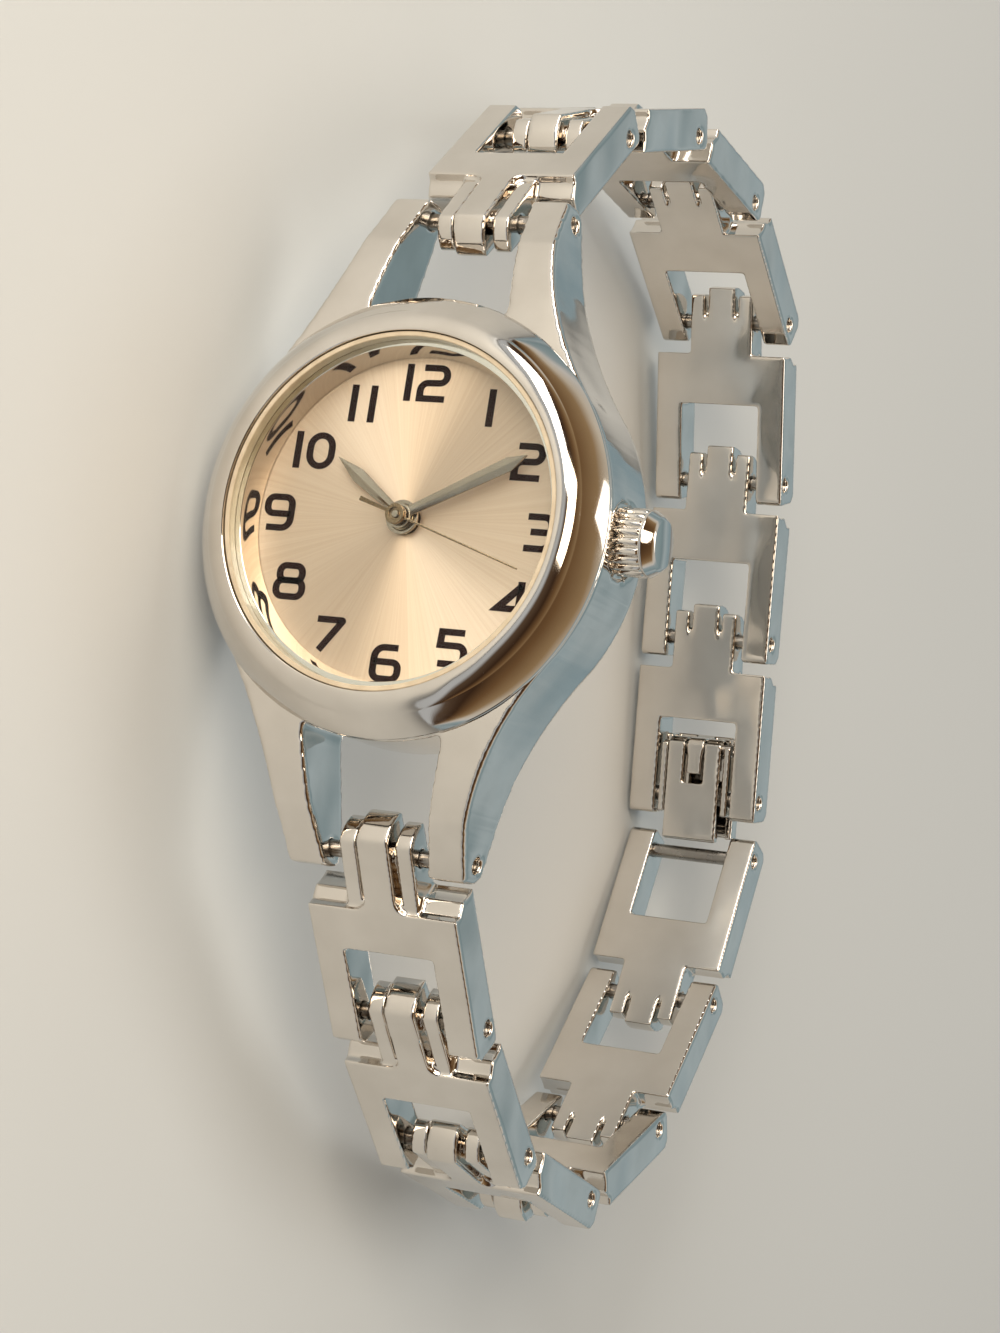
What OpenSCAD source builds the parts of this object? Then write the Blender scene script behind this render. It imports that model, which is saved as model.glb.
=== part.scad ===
// A ladies' bracelet watch, closed and laid on its nine o'clock side.
// Every piece is drawn in the watch's own frame: x to three o'clock, y to twelve, z out of the dial,
// and z = 0 on the outside of the case back. laid() then turns it to rest on its side, crown up.

/* [Case] */
// Thickness of the case's round side about the cavity
case_wall = 2.95; // [2.8:0.05:3.6]
// Height of the case middle's top face
case_top = 5.95; // [5.5:0.05:6.5]
// Height of the case middle's underside
case_under = 0.35; // [0.2:0.05:0.6]
// Radius of the cavity that holds the movement
cavity_r = 9.95; // [9.6:0.05:10.4]
// Radius of the polished case sides where they flare into the lugs
flare_r = 24; // [16:1:36]

/* [Lugs] */
// Distance of each lug pin from the centre
lug_pin_y = 18.9; // [18:0.1:20.5]
// Height of the lug pins over the case back
lug_pin_z = 1.12; // [1:0.02:1.4]
// Half width across the lugs at their tips
lug_half = 5.65; // [5:0.05:6.2]
// Half width of the gap between the prongs at their tips
gap_tip = 3.15; // [2.7:0.05:3.5]
// Half width of the gap beside the bezel
gap_root = 4.4; // [3.6:0.1:5]
// Radius of the crowned front of the lugs
lug_crown_r = 22; // [16:1:40]
// Slope of the facet at each lug's end, degrees
facet_slope = 34; // [25:1:45]
// Length of that facet along the lug
facet_len = 3.1; // [2:0.1:4]

/* [Bezel and crystal] */
// How far the crystal reaches over the cavity's wall
crystal_lap = 0.15; // [0:0.05:0.3]
// Thickness of the crystal
crystal_t = 0.8; // [0.6:0.05:1.2]
// Thickness of the gasket round the crystal
gasket_t = 0.3; // [0.2:0.05:0.5]
// Height of the bezel's crest over its foot
bezel_h = 2.1; // [1.7:0.05:2.6]
// Radius of the bezel's domed crest
dome_r = 1.45; // [1.2:0.05:1.8]
// Radius of the gently rounded flank of the bezel
flank_r = 7; // [5:0.5:12]
// How far the dome runs out from its crest to the start of the flank
dome_run = 1.15; // [0.95:0.05:1.15]
// How far the rehaut covers the rim of the cavity
rehaut_lap = 0.45; // [0.3:0.05:0.8]
// Height of the rehaut
rehaut_h = 1.7; // [1.5:0.05:2]
// How far the rehaut's top edge lies inside the crystal's rim
rehaut_lip = 0.35; // [0.15:0.05:0.5]

/* [Dial and hands] */
// Height of the dial's face
dial_z = 5.4; // [5.3:0.05:5.5]
// Thickness of the dial
dial_t = 0.4; // [0.3:0.05:0.5]
// Hour shown
show_hour = 10; // [0:1:11]
// Minute shown
show_minute = 10; // [0:1:59]
// Second shown
show_second = 18; // [0:1:59]
// Length of the hour hand
hour_len = 5.7; // [4.5:0.1:6.5]
// Length of the minute hand
minute_len = 8.4; // [7:0.1:8.8]
// Length of the second hand
second_len = 8.4; // [7:0.1:8.8]
// Length of the second hand's tail
second_tail = 2.6; // [1.5:0.1:3.5]
// Widest part of the hour and minute hands
hand_w = 0.86; // [0.6:0.02:1]
// Height of the hands' middle ridge
hand_t = 0.2; // [0.16:0.01:0.24]
// Height of their edges
hand_edge = 0.08; // [0.06:0.01:0.12]
// Radius of the bright ring in the middle of the second hand
hub_r = 0.6; // [0.5:0.02:0.7]

/* [Crown] */
// Radius of the crown
crown_r = 1.95; // [1.7:0.05:2.2]
// Length of the crown
crown_len = 2.75; // [2.2:0.05:3.2]
// How far the crown sinks into the case's side
crown_sink = 0.45; // [0.3:0.05:0.5]
// Height of the crown's axis
crown_z = 3.3; // [3.1:0.05:3.5]
// Number of rounded ribs round the crown
crown_ribs = 20; // [16:1:22]
// Radius of each rib
crown_rib_r = 0.25; // [0.22:0.01:0.28]
// Length of the smooth band outside the ribs
crown_band = 0.85; // [0.6:0.05:1]
// How far the crown pulls out
crown_pull = 0.8; // [0.5:0.1:1]
// Radius of the stem
stem_r = 0.4; // [0.35:0.01:0.45]

/* [Case back] */
// How far the case back laps over the rim of the cavity
back_lap = 0.55; // [0.5:0.01:0.8]
// Thickness of the case back
back_t = 0.9; // [0.8:0.05:1]

/* [Movement] */
// Space between the main plate and the cavity's wall, for the ring
ring_space = 1.05; // [0.9:0.05:1.3]
// Underside of the main plate
plate_z = 3.6; // [3.55:0.01:3.7]
// Thickness of the main plate
plate_t = 0.9; // [0.7:0.05:1]
// Space between the battery and the main plate's rim
battery_edge = 0.4; // [0.3:0.05:0.9]
// Space between the battery and the centre wheel
battery_gap = 0.28; // [0.2:0.02:0.5]
// Thickness of the battery
battery_t = 2.1; // [1.6:0.05:2.15]
// Underside of the train bridge
bridge_z = 2.2; // [2.1:0.05:2.25]
// Thickness of the train bridge
bridge_t = 0.35; // [0.25:0.05:0.4]
// Radius of the coil
coil_r = 0.8; // [0.6:0.05:0.85]

/* [Bracelet links] */
// Length of a link, pin to pin
link_len = 11.4; // [10.4:0.1:12.4]
// Width of a link
link_w = 9.7; // [9:0.1:10.6]
// Half width of the window between a link's arms
window_half = 2.9; // [2.75:0.05:3.2]
// Height of the outer face over the pin line
link_out = 1.8; // [1.6:0.05:2.1]
// Depth of the inner face under the pin line
link_in = 0.9; // [0.8:0.05:1.1]
// Distance from the tongue's pin to the shoulder
shoulder = 2.9; // [2.7:0.05:3.3]
// Length of the crossbar along the band
crossbar = 2.9; // [2.2:0.1:3.4]
// How far the arms run past their pin
arm_end = 1.45; // [1.2:0.05:1.6]
// Radius of the hollow in the shoulder, round the tongue's pin
hollow_r = 2.35; // [2.3:0.05:2.6]
// Diameter of the link pins
pin_d = 1.0; // [0.8:0.05:1.1]

/* [Three-rib tongue] */
// Width of the middle rib
rib_mid = 2.0; // [1.6:0.05:2.2]
// Width of each side rib
rib_side = 1.05; // [0.8:0.05:1.15]
// Width of the groove between ribs
rib_gap = 0.28; // [0.2:0.02:0.34]
// How much lower the side ribs stand
rib_drop = 0.35; // [0.2:0.05:0.6]
// How far a rib's top falls from the shoulder to its nose
rib_fall = 0.35; // [0.1:0.05:0.5]
// Depth of the groove's floor under the outer face
rib_groove = 0.95; // [0.6:0.05:1.1]
// Radius of the middle rib's nose, which is round about a line under the pin
nose_mid = 2.55; // [2.2:0.05:2.8]
// Radius of the side ribs' noses
nose_side = 2.0; // [1.7:0.05:2.2]
// Depth of that line under the pin
nose_low = 0.35; // [0.1:0.05:0.6]
// Radius of the knuckle round the pin, between the ribs
knuckle_r = 0.9; // [0.75:0.05:0.9]
// Radius of the flare where the middle rib meets the crossbar
flare_rib = 0.8; // [0.4:0.1:1]

/* [Bracelet loop] */
// Headings of the seven upper links, degrees down from twelve o'clock
upper_turn = [44, 69, 93, 120, 161, 171, 170]; // [0:1:200]
// Headings of the six lower links, degrees down from six o'clock
lower_turn = [38, 50, 77, 114, 141, 158]; // [0:1:200]

/* [Clasp] */
// Distance between the last pins of the two bracelet halves
clasp_span = 4.2; // [4.1:0.1:5]
// Half width of the clasp cover
cover_half = 2.65; // [2.4:0.05:2.7]
// Thickness of the clasp's sheet metal
sheet_t = 0.5; // [0.4:0.05:0.6]
// Distance from the last upper pin to the clasp hinge
fold_len = 3.6; // [3.2:0.1:4]
// Diameter of the clasp hinge pin
fold_pin_d = 0.7; // [0.6:0.05:0.8]
// Half width of the folding leaf
leaf_half = 2.0; // [1.7:0.05:2.05]

/* [Fits] */
// Radial clearance of a pin that turns in its bore
run_fit = 0.04; // [0.02:0.01:0.08]
// Radial clearance of a pin that is pressed in
press_fit = 0.01; // [0.01:0.01:0.02]
// Clearance between flat pieces that lie together
seat = 0.05; // [0.03:0.01:0.1]
// Side clearance of the clasp inside the last links
side_gap = 0.15; // [0.1:0.01:0.2]

/* [Hidden] */
$fn = 64;
tiny = 0.01;
pin_r = pin_d / 2;
arm_w = link_w / 2 - window_half;
window_start = shoulder + crossbar;
link_end = link_len + arm_end;
tongue_half = rib_mid / 2 + rib_gap + rib_side;
pin_recess = 0.25;
link_lip = 0.6;
link_nose = 0.5;
link_heel = 0.5;
root = 0.3;
fold_h = -0.3;
fold_knuckle = fold_pin_d / 2 + 0.35;
lug_end = lug_pin_y + lug_pin_z;
flare_bite = 0.03;
case_r = cavity_r + case_wall;
crystal_r = cavity_r + crystal_lap;
crown_x = case_r - crown_sink;
back_r = cavity_r + back_lap;
plate_r = cavity_r - ring_space;
rehaut_r = cavity_r - rehaut_lap;
bezel_bore = crystal_r + gasket_t + seat;
bezel_z = case_top;
rehaut_out = crystal_r + gasket_t;
ledge_z = dial_z + seat;
crystal_z = ledge_z + rehaut_h + seat;
dial_r = cavity_r - seat;
dial_under = dial_z - dial_t;
ring_in = plate_r + 0.1;
hour_turn = 30 * (show_hour + show_minute / 60);
minute_turn = 6 * (show_minute + show_second / 60);
second_turn = 6 * show_second;

// Heights of the hands over the dial, and of the tubes that carry them
hour_hand_z = dial_z + 0.35;
minute_hand_z = dial_z + 0.75;
second_hand_z = dial_z + 1.12;
needle_t = 0.13;
hub_h = 0.36;
arbor_r = 0.2;
cannon_r = 0.48;
hour_pipe_r = 0.75;
pipe_wall = 0.17;

// Layers of the gear train, between the train bridge and the main plate
train_low = bridge_z + bridge_t + 0.07;
layer = [train_low, train_low + 0.23, train_low + 0.42, train_low + 0.6];
layer_t = [0.18, 0.15, 0.13, 0.28];
motion_low = plate_z + plate_t + 0.03;
motion_high = motion_low + 0.21;
motion_t = [0.16, 0.19];

// Gear pairs. A pair's pitch radii share its centre distance by its ratio.
rotor_ratio = 5;
step_ratio = 6;
third_ratio = 7.5;
center_ratio = 8;
minute_ratio = 3;
hour_ratio = 4;
step_wheel_r = 1.4;
rotor_pinion_r = step_wheel_r / rotor_ratio;
second_wheel_r = 2.28;
step_pinion_r = second_wheel_r / step_ratio;
third_dist = 2.72;
third_wheel_r = third_dist * third_ratio / (third_ratio + 1);
second_pinion_r = third_wheel_r / third_ratio;
center_wheel_r = third_dist * center_ratio / (center_ratio + 1);
third_pinion_r = center_wheel_r / center_ratio;
minute_dist = 3.2;
minute_wheel_r = minute_dist * minute_ratio / (minute_ratio + 1);
cannon_leaf_r = minute_wheel_r / minute_ratio;
hour_wheel_r = minute_dist * hour_ratio / (hour_ratio + 1);
minute_pinion_r = hour_wheel_r / hour_ratio;
backlash = 0.04;
magnet_r = 0.75;
pivot_r = 0.12;
third_at = third_dist * [cos(-20), sin(-20)];
step_at = (second_wheel_r + step_pinion_r) * [cos(45), sin(45)];
rotor_at = step_at + (step_wheel_r + rotor_pinion_r) * [cos(35), sin(35)];
minute_at = minute_dist * [cos(-60), sin(-60)];
battery_r = (plate_r - battery_edge - center_wheel_r - battery_gap) / 2;
battery_at = (plate_r - battery_r - battery_edge) * [cos(232), sin(232)];
coil_at = [1.4, plate_r - coil_r - 2];
coil_len = 5.6;
core_end = 1.2;
stator_left = coil_at[0] - coil_len / 2 - core_end;
board_at = [0.4 - plate_r, -0.4];
board_size = [stator_left - 0.6 - board_at[0], 5.6];
quartz_at = board_at + [2.9, 2.7];
screw_at = [[5.1, 1], [-2.2, 2.1], [4.6, -3.4]];
pillar_r = 0.42;
lever_x = plate_r - 2.1;
lever_y = 2.2;
lever_t = 0.2;
stem_inner = plate_r - 3.7;
stem_outer = crown_x + 1.2;
lever_groove = 0.4;

// The closed loop. A point is [y, z]; a heading turns down from the dial's plane.
function upper_dir(a) = [cos(a), -sin(a)];
function lower_dir(a) = [-cos(a), -sin(a)];
function total(v, i = 0) = i < len(v) ? v[i] + total(v, i + 1) : 0 * v[0];
function upper_pins(a, i = 0) = [lug_pin_y, lug_pin_z]
    + (i == 0 ? [0, 0] : link_len * total([for (k = [0 : i - 1]) upper_dir(a[k])]));
function lower_pins(a, i = 0) = [-lug_pin_y, lug_pin_z]
    + (i == 0 ? [0, 0] : link_len * total([for (k = [0 : i - 1]) lower_dir(a[k])]));

// How far the lower end is from the clasp's far pin, and how each heading moves it
function miss(a, b) = upper_pins(a, 7) + clasp_span * upper_dir(a[6]) - lower_pins(b, 6);
function reach(k) = k == 6 ? link_len + clasp_span : link_len;
function slopes(a, b) = concat(
    [for (k = [0 : 6]) reach(k) * [-sin(a[k]), -cos(a[k])]],
    [for (k = [0 : 5]) link_len * [-sin(b[k]), cos(b[k])]]);

// One step of the least change of all the headings that closes the loop
function close_step(a, b) =
    let (s = slopes(a, b), e = miss(a, b))
    let (sxx = total([for (p = s) p[0] * p[0]]))
    let (sxy = total([for (p = s) p[0] * p[1]]))
    let (syy = total([for (p = s) p[1] * p[1]]))
    let (det = sxx * syy - sxy * sxy)
    let (u = [(syy * e[0] - sxy * e[1]) / det, (sxx * e[1] - sxy * e[0]) / det])
    let (d = [for (p = s) -(p * u) * 180 / PI])
    [[for (k = [0 : 6]) a[k] + d[k]], [for (k = [0 : 5]) b[k] + d[k + 7]]];
function closed(a, b, steps) =
    steps == 0 ? [a, b] : let (n = close_step(a, b)) closed(n[0], n[1], steps - 1);
loop = closed(upper_turn, lower_turn, 6);
upper_a = loop[0];
lower_a = loop[1];

// Placing

module laid() {
    rotate([90, -90, 0]) children();
}

module on_upper(k) {
    p = upper_pins(upper_a, k - 1);
    laid() translate([0, p[0], p[1]]) rotate([-upper_a[k - 1], 0, 0]) children();
}

module on_lower(k) {
    p = lower_pins(lower_a, k - 1);
    laid() translate([0, p[0], p[1]]) rotate([-lower_a[k - 1], 0, 180]) children();
}

// A bar of a profile drawn as [along the band, outward], as wide as w about x = at
module across(w, at = 0) {
    translate([at - w / 2, 0, 0]) rotate([90, 0, 90]) linear_extrude(w) children();
}

module cross_cylinder(r, w, u = 0, h = 0, at = 0) {
    translate([at - w / 2, u, h]) rotate([0, 90, 0]) cylinder(r = r, h = w);
}

module tube(outer, inner, h) {
    difference() {
        cylinder(r = outer, h = h);
        translate([0, 0, -1]) cylinder(r = inner, h = h + 2);
    }
}

// Case

module flared_side() {
    // what the concave flare takes off one quarter of the outline; it just bites into the round case
    far = case_r + flare_r - flare_bite;
    cx = lug_half + flare_r;
    cy = sqrt(far * far - cx * cx);
    translate([cx, cy]) circle(r = flare_r, $fn = 180);
    if (cy < lug_end) translate([lug_half, cy]) square([case_r, lug_end]);
}

module case_outline() {
    touch_x = case_r * (lug_half + flare_r) / (case_r + flare_r);
    difference() {
        union() {
            circle(r = case_r, $fn = 180);
            square([2 * touch_x, 2 * lug_end], center = true);
        }
        for (sx = [0, 1], sy = [0, 1]) mirror([sx, 0]) mirror([0, sy]) flared_side();
        for (sy = [0, 1]) mirror([0, sy]) lug_gap();
    }
}

module lug_gap() {
    root_y = sqrt(case_r * case_r - gap_root * gap_root);
    corner = 0.9;
    difference() {
        polygon([[-gap_root, root_y - 0.6], [gap_root, root_y - 0.6], [gap_root, root_y + 0.6],
            [gap_tip, lug_end + 1], [-gap_tip, lug_end + 1], [-gap_root, root_y + 0.6]]);
        circle(r = case_r, $fn = 180);
        for (s = [-1, 1]) difference() {
            translate([s * gap_root - corner, root_y - 1]) square([2 * corner, 1 + 0.6 * corner]);
            translate([s * (gap_root - corner), root_y + 0.6 * corner]) circle(r = corner);
        }
    }
}

module case_side() {
    // side view of the case and lugs, [y, z]
    knee_y = lug_end - facet_len;
    crown_y = 8.5;
    knee_z = case_top - lug_crown_r + sqrt(pow(lug_crown_r, 2) - pow(knee_y - crown_y, 2));
    under_y = 13;
    difference() {
        polygon([[-lug_end, 0], [-lug_pin_y + 2, 0], [-under_y, case_under], [under_y, case_under],
            [lug_pin_y - 2, 0], [lug_end, 0], [lug_end, case_top], [-lug_end, case_top]]);
        for (s = [0, 1]) mirror([s, 0]) {
            difference() {
                translate([crown_y, 0]) square([lug_end, case_top + 1]);
                translate([crown_y, case_top - lug_crown_r]) circle(r = lug_crown_r, $fn = 360);
            }
            translate([knee_y, knee_z]) rotate(-facet_slope) square(lug_end);
            difference() {
                translate([lug_pin_y, -1]) square([3, 1 + lug_pin_z]);
                translate([lug_pin_y, lug_pin_z]) circle(r = lug_pin_z);
            }
        }
    }
}

module case_body() {
    gasket_r = cavity_r + seat + 0.42;
    color("gainsboro") laid() difference() {
        intersection() {
            linear_extrude(case_top) case_outline();
            across(2 * case_r + 2) case_side();
        }
        translate([0, 0, -1]) cylinder(r = cavity_r, h = case_top + 2);
        translate([0, 0, -1]) cylinder(r = back_r + 0.1, h = 1 + back_t);
        translate([0, 0, ledge_z]) cylinder(r = rehaut_out + seat, h = case_top);
        translate([0, 0, back_t - tiny]) cylinder(r = gasket_r, h = 0.32);
        for (s = [-1, 1]) cross_cylinder(pin_r + press_fit, 2 * case_r, s * lug_pin_y, lug_pin_z);
        cross_cylinder(stem_r + run_fit, case_r, 0, crown_z, case_r);
        cross_cylinder(crown_r + 0.3, 4, 0, crown_z, crown_x - 0.15 + 2);
        cross_cylinder(1.3, 4, 0, crown_z, crown_x - 0.95 + 2);
    }
}

module bezel_profile() {
    crest_x = bezel_bore + 0.15;
    crease_x = crest_x + dome_run;
    crease_z = bezel_z + bezel_h - dome_r + sqrt(pow(dome_r, 2) - pow(dome_run, 2));
    foot_z = bezel_z + 0.15;
    run = [case_r - crease_x, foot_z - crease_z];
    chord = norm(run);
    mid = [crease_x, crease_z] + run / 2;
    flank_c = mid + sqrt(flank_r * flank_r - chord * chord / 4) * [run[1], -run[0]] / chord;
    intersection() {
        translate([bezel_bore, bezel_z]) square([case_r - bezel_bore, bezel_h]);
        translate(flank_c) circle(r = flank_r, $fn = 180);
        union() {
            translate([crest_x, bezel_z + bezel_h - dome_r]) circle(r = dome_r, $fn = 96);
            translate([bezel_bore, bezel_z]) square([case_r, bezel_h - dome_r]);
            translate([crease_x, bezel_z]) square([case_r, bezel_h]);
        }
    }
}

module bezel() {
    color("gainsboro") laid() rotate_extrude($fn = 180) bezel_profile();
}

module crystal() {
    edge = 0.12;
    color([0.8, 0.9, 0.95, 0.4]) laid() rotate_extrude($fn = 180)
        polygon([[0, crystal_z], [crystal_r, crystal_z], [crystal_r, crystal_z + crystal_t - edge],
            [crystal_r - edge, crystal_z + crystal_t], [0, crystal_z + crystal_t]]);
}

module crystal_gasket() {
    color("ivory") laid() translate([0, 0, crystal_z])
        tube(crystal_r + gasket_t, crystal_r + tiny, crystal_t - 0.1);
}

module rehaut_ring() {
    color("silver") laid() rotate_extrude($fn = 180)
        polygon([[rehaut_r, ledge_z], [rehaut_out, ledge_z], [rehaut_out, ledge_z + rehaut_h],
            [crystal_r - rehaut_lip, ledge_z + rehaut_h]]);
}

module case_back() {
    rim = cavity_r - seat;
    color("silver") laid() difference() {
        union() {
            rotate_extrude($fn = 180)
                polygon([[0, 0], [back_r - 0.25, 0], [back_r, 0.25], [back_r, back_t], [0, back_t]]);
            translate([0, 0, back_t - tiny]) tube(rim, rim - 0.6, 0.3);
        }
        // the notch for a case knife
        translate([-1.2, -back_r - 0.6, back_t - 0.35]) cube([2.4, 1, 0.5]);
    }
}

module case_back_gasket() {
    color("black") laid() translate([0, 0, back_t + tiny])
        tube(cavity_r + seat + 0.4, cavity_r + seat + 0.02, 0.28);
}

module lug_pins() {
    // each pin lies a little below the polished sides
    w = 2 * lug_half - 2 * pin_recess;
    color("dimgray") laid() for (s = [-1, 1]) cross_cylinder(pin_r, w, s * lug_pin_y, lug_pin_z);
}

// Dial, hands and motion work

module dial() {
    color("burlywood") laid() translate([0, 0, dial_under]) tube(dial_r, hour_pipe_r + 0.2, dial_t);
}

module on_hand(turn, z) {
    laid() translate([0, 0, z]) rotate(-turn) children();
}

module ridged_hand(length, boss, root_w, shoulder_at) {
    // a baton with a ridge along its middle, widest at its shoulder and pointed at the end
    cylinder(r = boss, h = hand_t);
    intersection() {
        linear_extrude(hand_t) polygon([[-root_w / 2, 0], [-hand_w / 2, shoulder_at], [0, length],
            [hand_w / 2, shoulder_at], [root_w / 2, 0]]);
        rotate([-90, 0, 0]) mirror([0, 1, 0]) linear_extrude(length) polygon([[-hand_w / 2, 0],
            [-hand_w / 2, hand_edge], [0, hand_t], [hand_w / 2, hand_edge], [hand_w / 2, 0]]);
    }
}

module hour_hand() {
    color("gray") on_hand(hour_turn, hour_hand_z) difference() {
        ridged_hand(hour_len, hour_pipe_r + 0.25, 0.48, 0.7 * hour_len);
        translate([0, 0, -1]) cylinder(r = hour_pipe_r + press_fit, h = 3);
    }
}

module hour_wheel() {
    top = hour_hand_z + hand_t;
    color("goldenrod") laid() difference() {
        union() {
            translate([0, 0, motion_high]) cylinder(r = hour_wheel_r - backlash, h = motion_t[1]);
            translate([0, 0, motion_high]) cylinder(r = hour_pipe_r, h = top - motion_high);
        }
        translate([0, 0, motion_high - 1]) cylinder(r = cannon_r + run_fit, h = 5);
    }
}

module minute_wheel() {
    color("goldenrod") laid() translate(minute_at) union() {
        translate([0, 0, motion_low]) cylinder(r = minute_wheel_r - backlash, h = motion_t[0]);
        translate([0, 0, motion_low])
            cylinder(r = minute_pinion_r - backlash, h = motion_high + motion_t[1] - motion_low);
        translate([0, 0, motion_low - 0.4]) cylinder(r = pivot_r, h = 0.5);
    }
}

module minute_hand() {
    color("gray") on_hand(minute_turn, minute_hand_z) difference() {
        ridged_hand(minute_len, cannon_r + 0.25, 0.56, minute_len - 1.2);
        translate([0, 0, -1]) cylinder(r = cannon_r + press_fit, h = 3);
    }
}

module cannon_pinion() {
    // the centre wheel, the leaves that turn the minute wheel, and the tube for the minute hand
    top = minute_hand_z + hand_t;
    leaf_r = cannon_leaf_r - backlash;
    color("goldenrod") laid() difference() {
        union() {
            translate([0, 0, layer[3]]) cylinder(r = center_wheel_r - backlash, h = layer_t[3]);
            translate([0, 0, layer[3]]) cylinder(r = leaf_r, h = motion_low + motion_t[0] - layer[3]);
            translate([0, 0, layer[3]]) cylinder(r = cannon_r, h = top - layer[3]);
        }
        translate([0, 0, layer[3] - 1]) cylinder(r = arbor_r + run_fit, h = dial_z);
    }
}

module second_hand() {
    // a needle with a square tail, on a ring that shows the end of its arbor
    w = 0.14;
    color("goldenrod") on_hand(second_turn, second_hand_z) difference() {
        union() {
            linear_extrude(needle_t) polygon([[-w, -second_tail], [w, -second_tail],
                [w / 2, 0], [w / 3, second_len], [-w / 3, second_len], [-w / 2, 0]]);
            cylinder(r = hub_r, h = hub_h);
        }
        translate([0, 0, -1]) cylinder(r = arbor_r + press_fit, h = 2);
        translate([0, 0, hub_h - 0.14]) cylinder(r = hub_r - 0.24, h = 1);
    }
}

module pivot_pin() {
    // turns in the train bridge below and in the main plate above
    translate([0, 0, bridge_z + 0.02]) cylinder(r = pivot_r, h = plate_z + 0.4 - bridge_z);
}

module second_wheel() {
    top = second_hand_z + hub_h - 0.06;
    color("goldenrod") laid() union() {
        translate([0, 0, layer[1]]) cylinder(r = second_wheel_r - backlash, h = layer_t[1]);
        translate([0, 0, layer[1]])
            cylinder(r = second_pinion_r - backlash, h = layer[2] + layer_t[2] - layer[1]);
        translate([0, 0, train_low]) cylinder(r = arbor_r, h = top - train_low);
        translate([0, 0, bridge_z + 0.02]) cylinder(r = pivot_r, h = 1);
    }
}

module third_wheel() {
    color("goldenrod") laid() translate(third_at) union() {
        translate([0, 0, layer[2]]) cylinder(r = third_wheel_r - backlash, h = layer_t[2]);
        translate([0, 0, layer[2]])
            cylinder(r = third_pinion_r - backlash, h = layer[3] + layer_t[3] - layer[2]);
        translate([0, 0, train_low]) cylinder(r = arbor_r, h = layer[2] - train_low + tiny);
        pivot_pin();
    }
}

module step_wheel() {
    color("goldenrod") laid() translate(step_at) union() {
        translate([0, 0, layer[0]]) cylinder(r = step_wheel_r - backlash, h = layer_t[0]);
        translate([0, 0, layer[0]])
            cylinder(r = step_pinion_r - backlash, h = layer[1] + layer_t[1] - layer[0]);
        pivot_pin();
    }
}

module rotor() {
    color("dimgray") laid() translate(rotor_at) union() {
        translate([0, 0, layer[3]]) cylinder(r = magnet_r, h = layer_t[3]);
        translate([0, 0, layer[0]])
            cylinder(r = rotor_pinion_r - backlash, h = layer[3] - layer[0] + tiny);
        pivot_pin();
    }
}

module movement_ring() {
    base = back_t + 0.4;
    color("white") laid() difference() {
        translate([0, 0, base]) tube(cavity_r - seat, ring_in, dial_under - base);
        cross_cylinder(stem_r + 0.3, cavity_r, 0, crown_z, cavity_r);
    }
}

module main_plate() {
    rim_t = 0.9;
    color("silver") laid() difference() {
        union() {
            translate([0, 0, plate_z]) cylinder(r = plate_r, h = plate_t);
            translate([0, 0, plate_z]) tube(plate_r, plate_r - rim_t, dial_under - plate_z);
        }
        translate([0, 0, plate_z - 1]) cylinder(r = cannon_leaf_r - backlash + run_fit, h = 4);
        for (p = [third_at, step_at, rotor_at])
            translate([p[0], p[1], plate_z - 1]) cylinder(r = pivot_r + run_fit, h = 1.5);
        translate([minute_at[0], minute_at[1], motion_low - 0.5]) cylinder(r = pivot_r + run_fit, h = 1);
        for (p = screw_at) translate([p[0], p[1], plate_z - 1]) cylinder(r = 0.25 + press_fit, h = 1.6);
        cross_cylinder(stem_r + 0.1, plate_r, 0, crown_z, stem_inner - 0.3 + plate_r / 2);
    }
}

module train_bridge() {
    arm_half = 0.6;
    color("silver") laid() difference() {
        union() {
            translate([1.9, 0.6, bridge_z]) cylinder(r = 3.2, h = bridge_t);
            translate([rotor_at[0], rotor_at[1], bridge_z]) cylinder(r = arm_half, h = bridge_t);
            for (p = screw_at) rotate(atan2(p[1], p[0]))
                translate([0, -arm_half, bridge_z]) cube([norm(p), 2 * arm_half, bridge_t]);
            for (p = screw_at) translate([p[0], p[1], bridge_z]) cylinder(r = arm_half, h = bridge_t);
            for (p = screw_at)
                translate([p[0], p[1], bridge_z]) cylinder(r = pillar_r, h = plate_z - bridge_z);
        }
        for (p = [[0, 0], third_at, step_at, rotor_at])
            translate([p[0], p[1], bridge_z - 1]) cylinder(r = pivot_r + run_fit, h = 3);
        for (p = screw_at)
            translate([p[0], p[1], bridge_z - 1]) cylinder(r = 0.25 + press_fit, h = 4);
    }
}

module bridge_screws() {
    color("lightsteelblue") laid() for (p = screw_at) translate([p[0], p[1], 0]) difference() {
        union() {
            translate([0, 0, bridge_z - 0.3]) cylinder(r = 0.5, h = 0.3);
            translate([0, 0, bridge_z - tiny]) cylinder(r = 0.25, h = plate_z + 0.5 - bridge_z);
        }
        translate([-1, -0.08, bridge_z - 0.4]) cube([2, 0.16, 0.22]);
    }
}

module battery() {
    top = plate_z - seat;
    color("lightgray") laid() translate([battery_at[0], battery_at[1], top - battery_t]) union() {
        cylinder(r = battery_r - 0.35, h = 0.25);
        translate([0, 0, 0.2]) cylinder(r = battery_r, h = battery_t - 0.2);
    }
}

module battery_clamp() {
    low = plate_z - seat - battery_t - seat;
    leg = 0.45;
    half = battery_r + 0.12 + leg;
    color("silver") laid() translate([battery_at[0], battery_at[1], 0]) union() {
        translate([-half, -0.7, low - 0.2]) cube([2 * half, 1.4, 0.2]);
        for (s = [0, 1]) mirror([s, 0, 0])
            translate([half - leg, -0.7, low - 0.2]) cube([leg, 1.4, plate_z - low + 0.2 - tiny]);
    }
}

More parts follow.
